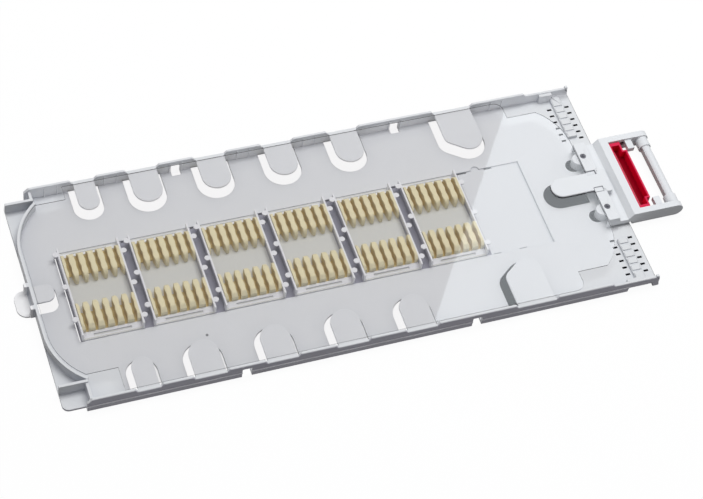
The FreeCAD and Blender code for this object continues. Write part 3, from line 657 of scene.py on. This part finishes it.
def rib_half_width(y, length):
    """Half width of a rib: lobed along its flanks, narrower towards its inner tip, and rounded there."""
    body = length - RIB_TIP_LENGTH
    lobes = RIB_WAIST * (1 - math.cos(2 * math.pi * min(y, body) / RIB_WAVE)) / 2
    half = RIB_HALF - RIB_TAPER * y / length - lobes
    if y > body:
        half += (RIB_TIP_HALF - half) * (y - body) / RIB_TIP_LENGTH
    left = length - y
    if left < RIB_TIP_HALF:
        half *= RIB_TIP_BLUNT + (1 - RIB_TIP_BLUNT) * math.sqrt(1 - (1 - left / RIB_TIP_HALF) ** 2)
    return half


def rib_top(y, length, height):
    """Height of a rib's top: sloped at its outer end, and curved down like a nose at its inner tip."""
    drop = max(0.0, RIB_SLOPE - y)
    nose = y - (length - RIB_NOSE_LENGTH)
    if nose > 0:
        drop = RIB_NOSE_DROP * (nose / RIB_NOSE_LENGTH) ** 2
    return height - drop


def rib_ring(half, top, left, right):
    """X and Z round a rib at one place, with rounded top corners; a False side is cut flat at X = 0."""
    ring = []
    for side, whole in ((-1, left), (1, right)):
        edge = side * half if whole else 0.0
        corner = RIB_CORNER if whole else 0.0
        arc = [(edge, 0.0)]
        for turn in range(RIB_CORNER_STEPS + 1):
            angle = math.pi / 2 * turn / RIB_CORNER_STEPS
            inward = corner * (1 - math.cos(angle))
            arc.append((edge - side * inward, top - corner * (1 - math.sin(angle))))
        ring += arc if side < 0 else arc[::-1]
    return ring


def rib_mesh(name, length, height, left, right):
    """One rib along -Y from the origin, with its foot at Z = 0; a False side is cut flat at X = 0."""
    work = bmesh.new()
    rings = []
    for y in rib_stations(length):
        ring = rib_ring(rib_half_width(y, length), rib_top(y, length, height), left, right)
        rings.append([work.verts.new((x, -y, z)) for x, z in ring])
    for before, after in zip(rings, rings[1:]):
        for place in range(len(before)):
            following = (place + 1) % len(before)
            work.faces.new((before[place], before[following], after[following], after[place]))
    work.faces.new(rings[0][::-1])
    work.faces.new(rings[-1])
    bmesh.ops.remove_doubles(work, verts=work.verts, dist=MERGE)
    bmesh.ops.recalc_face_normals(work, faces=work.faces)
    mesh = bpy.data.meshes.new(name)
    work.to_mesh(mesh)
    work.free()
    mesh.shade_smooth()
    mesh.set_sharp_from_angle(angle=RIB_SMOOTH_ANGLE)
    return mesh


def rib_row_tree():
    """Geometry Nodes that repeat one rib along X: inputs Ribs, Pitch, Start and Finish."""
    tree = bpy.data.node_groups.new("rib_row", "GeometryNodeTree")
    sockets = (("Geometry", "NodeSocketGeometry"), ("Ribs", "NodeSocketInt"), ("Pitch", "NodeSocketFloat"),
               ("Start", "NodeSocketVector"), ("Finish", "NodeSocketMaterial"))
    for name, kind in sockets:
        tree.interface.new_socket(name, in_out="INPUT", socket_type=kind)
    tree.interface.new_socket("Geometry", in_out="OUTPUT", socket_type="NodeSocketGeometry")
    build = Tree(tree)
    given = {name: build.node("NodeGroupInput", {}, {}, name) for name, kind in sockets}
    step = build.node("ShaderNodeCombineXYZ", {}, {"X": given["Pitch"]})
    line = {"Count": given["Ribs"], "Start Location": given["Start"], "Offset": step}
    row = build.node("GeometryNodeMeshLine", {"mode": "OFFSET"}, line)
    copies = build.node("GeometryNodeInstanceOnPoints", {}, {"Points": row, "Instance": given["Geometry"]})
    real = build.node("GeometryNodeRealizeInstances", {}, {"Geometry": copies})
    done = build.node("GeometryNodeSetMaterial", {}, {"Geometry": real, "Material": given["Finish"]})
    build.node("NodeGroupOutput", {}, {"Geometry": done})
    return tree


def evaluated_mesh(mesh, tree, values):
    """The plain mesh that a Geometry Nodes tree makes of a mesh."""
    carrier = add_object("carrier", mesh)
    modifier = carrier.modifiers.new("row", "NODES")
    modifier.node_group = tree
    for item in tree.interface.items_tree:
        if item.in_out == "INPUT" and item.name in values:
            modifier[item.identifier] = values[item.name]
    made = plain_mesh(carrier)
    bpy.data.objects.remove(carrier)
    return made


def comb_mesh(low, high, side, tree, finish):
    """Ribs and foot strip of a comb between two corners; side is 1 for a far comb and -1 for a near."""
    length = high.y - low.y
    height = high.z - low.z
    pitch = (high.x - low.x) / (RIB_COUNT - 1)
    whole = rib_mesh("rib", length, height, True, True)
    values = {"Ribs": RIB_COUNT - 2, "Pitch": pitch, "Start": (low.x + pitch, 0.0, 0.0), "Finish": finish}
    work = bmesh.new()
    work.from_mesh(evaluated_mesh(whole, tree, values))
    for x, left, right in ((low.x, False, True), (high.x, True, False)):
        half = rib_mesh("half_rib", length, height, left, right)
        half.transform(Matrix.Translation((x, 0.0, 0.0)))
        work.from_mesh(half)
    strip_end = Vector((low.x, -length * STRIP_SHARE, 0.0))
    add_block(work, strip_end, Vector((high.x, 0.0, STRIP_THICK)))
    outer = Matrix.Translation((0.0, high.y if side > 0 else low.y, low.z))
    bmesh.ops.transform(work, matrix=outer @ Matrix.Diagonal((1, side, 1, 1)), verts=work.verts)
    if side < 0:
        bmesh.ops.reverse_faces(work, faces=work.faces)
    mesh = bpy.data.meshes.new("comb")
    work.to_mesh(mesh)
    work.free()
    mesh.materials.append(finish)
    return mesh


def panel_light(name, place, size, radiance, colour=(1.0, 1.0, 1.0), turn=0.0):
    """A soft panel of the given radiance that faces down; turn is in degrees about the vertical."""
    lamp = bpy.data.lights.new(name, "AREA")
    lamp.shape = "RECTANGLE"
    lamp.size, lamp.size_y = size
    lamp.energy = radiance * math.pi * size[0] * size[1]
    lamp.color = colour
    light = add_object(name, lamp)
    light.location = place
    light.rotation_mode = "QUATERNION"
    light.rotation_quaternion = Quaternion((0.0, 0.0, 1.0), math.radians(turn))
    light.visible_camera = False
    return light


# Finishes
tray_plastic = tray_finish()
bracket_plastic = bracket_finish()
holder_plastic = holder_finish()
cream_rubber = rubber_finish()
red_plastic = latch_finish()
dark_steel = steel_finish()
clear_film = film_finish()

# Mouldings
tray = rounded_copy("tray_base", EDGE["tray"])
hold_in_box(tray, "tray_base")
dress(tray, "tray_base", tray_plastic)
bracket = rounded_copy("hinge_bracket", EDGE["bracket"])
add_slit_plates(bracket.data)
dress(bracket, "hinge_bracket", bracket_plastic)
dress(rounded_copy("latch_slide", EDGE["small"]), "latch_slide", red_plastic)
dress(rounded_copy("bracket_screws", EDGE["fine"]), "bracket_screws", dark_steel)
sheet = rounded_copy("clear_cover", EDGE["fine"])
sheet.data.transform(Matrix.Translation((0.0, 0.0, SHEET_LIFT)))
dress(sheet, "clear_cover", clear_film)
for node in nodes_named("splice_holder_"):
    dress(rounded_copy(node, EDGE["small"]), node, holder_plastic)

# Rib combs
rib_tree = rib_row_tree()
for label, side in (("comb_far_", 1), ("comb_near_", -1)):
    for node in nodes_named(label):
        low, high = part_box(node)
        comb = add_object(node + "_ribs", comb_mesh(low, high, side, rib_tree, cream_rubber))
        dress(comb, node, cream_rubber)

# Camera
camera_data = bpy.data.cameras.new("photo_camera")
camera_data.lens = CAMERA_LENS
camera_data.sensor_width = SENSOR_WIDTH
camera = add_object("photo_camera", camera_data)
camera_up = CAMERA_RIGHT.cross(CAMERA_FORWARD)
camera_axes = Matrix((CAMERA_RIGHT, camera_up, -CAMERA_FORWARD)).transposed()
camera.rotation_mode = "QUATERNION"
camera.rotation_quaternion = camera_axes.to_quaternion()
camera.location = CAMERA_PLACE
bpy.context.scene.camera = camera

# Floor
floor_mesh = bpy.data.meshes.new("floor")
corners = [(x * FLOOR_HALF, y * FLOOR_HALF, 0) for x, y in ((-1, -1), (1, -1), (1, 1), (-1, 1))]
floor_mesh.from_pydata(corners, [], [(0, 1, 2, 3)])
floor_mesh.materials.append(stage_floor_finish())
floor = add_object("floor", floor_mesh)
floor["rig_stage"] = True

# Lamps
key = panel_light("key_panel", KEY_PLACE, KEY_SIZE, KEY_RADIANCE)
key.visible_glossy = False
panel_light("shine_panel", SHINE_PLACE, SHINE_SIZE, SHINE_RADIANCE, SHINE_COLOUR, SHINE_TURN)

# Surroundings
world = bpy.data.worlds.new("studio")
world.use_nodes = True
bpy.context.scene.world = world
sky = Tree(world.node_tree)
sky_seen = (sky.ray("Camera") + sky.ray("Glossy") * SKY_MIRRORED).limited()
sky_level = sky_seen * (1.0 - SKY_LEAST) + SKY_LEAST
backdrop = sky.node("ShaderNodeBackground", {}, {"Color": SKY_COLOUR, "Strength": sky_level})
sky.node("ShaderNodeOutputWorld", {}, {"Surface": backdrop})

bpy.context.scene.view_settings.view_transform = "Standard"

low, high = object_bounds()
